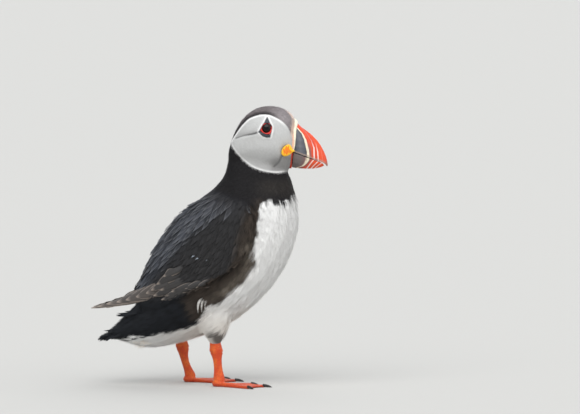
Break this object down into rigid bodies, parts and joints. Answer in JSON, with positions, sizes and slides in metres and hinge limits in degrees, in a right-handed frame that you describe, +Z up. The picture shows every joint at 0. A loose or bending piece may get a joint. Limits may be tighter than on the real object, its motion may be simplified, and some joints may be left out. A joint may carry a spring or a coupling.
{
  "type": "atlantic puffin",
  "caption": "Still, life-size model of a standing Atlantic puffin with folded wings, a deep banded bill and webbed feet.",
  "frame": {"origin": "on the floor, under the middle of the bird's length and width", "axes": "+X the way the bill points, +Y the bird's left, +Z up"},
  "size_m": [0.1914, 0.0976, 0.2245],
  "materials": {
    "face_feathers": "matte, short pale grey feathers",
    "black_feathers": "soft charcoal black with a slight sheen",
    "white_feathers": "matte white",
    "flight_feathers": "dark grey-brown, smooth vanes",
    "bill_horn": "satin horn, red-orange with a slate base",
    "bill_rim": "cream, fleshy",
    "bill_rim_lower": "dark red, fleshy",
    "gape_rosette": "wrinkled yellow-orange skin",
    "eye": "wet, near black",
    "eye_ring": "bare red skin",
    "eye_plate": "slate horn",
    "leg_skin": "scaled orange-red skin, slight sheen",
    "claw": "dark horn"
  },
  "bodies": {
    "root": {"head": "face_feathers", "neck": "black_feathers", "trunk": "white_feathers", "tail": "black_feathers", "bill_upper": "bill_horn", "bill_lower": "bill_horn", "bill_rim": "bill_rim", "bill_rim_lower": "bill_rim_lower", "eye_right": "eye", "eye_ring_right": "eye_ring", "eye_plate_upper_right": "eye_plate", "eye_plate_lower_right": "eye_plate", "rosette_right": "gape_rosette", "wing_right": "black_feathers", "wing_tip_right": "flight_feathers", "thigh_right": "white_feathers", "leg_right": "leg_skin", "foot_right": "leg_skin", "claw_outer_right": "claw", "claw_middle_right": "claw", "claw_inner_right": "claw", "eye_left": "eye", "eye_ring_left": "eye_ring", "eye_plate_upper_left": "eye_plate", "eye_plate_lower_left": "eye_plate", "rosette_left": "gape_rosette", "wing_left": "black_feathers", "wing_tip_left": "flight_feathers", "thigh_left": "white_feathers", "leg_left": "leg_skin", "foot_left": "leg_skin", "claw_outer_left": "claw", "claw_middle_left": "claw", "claw_inner_left": "claw"}
  },
  "joints": []
}
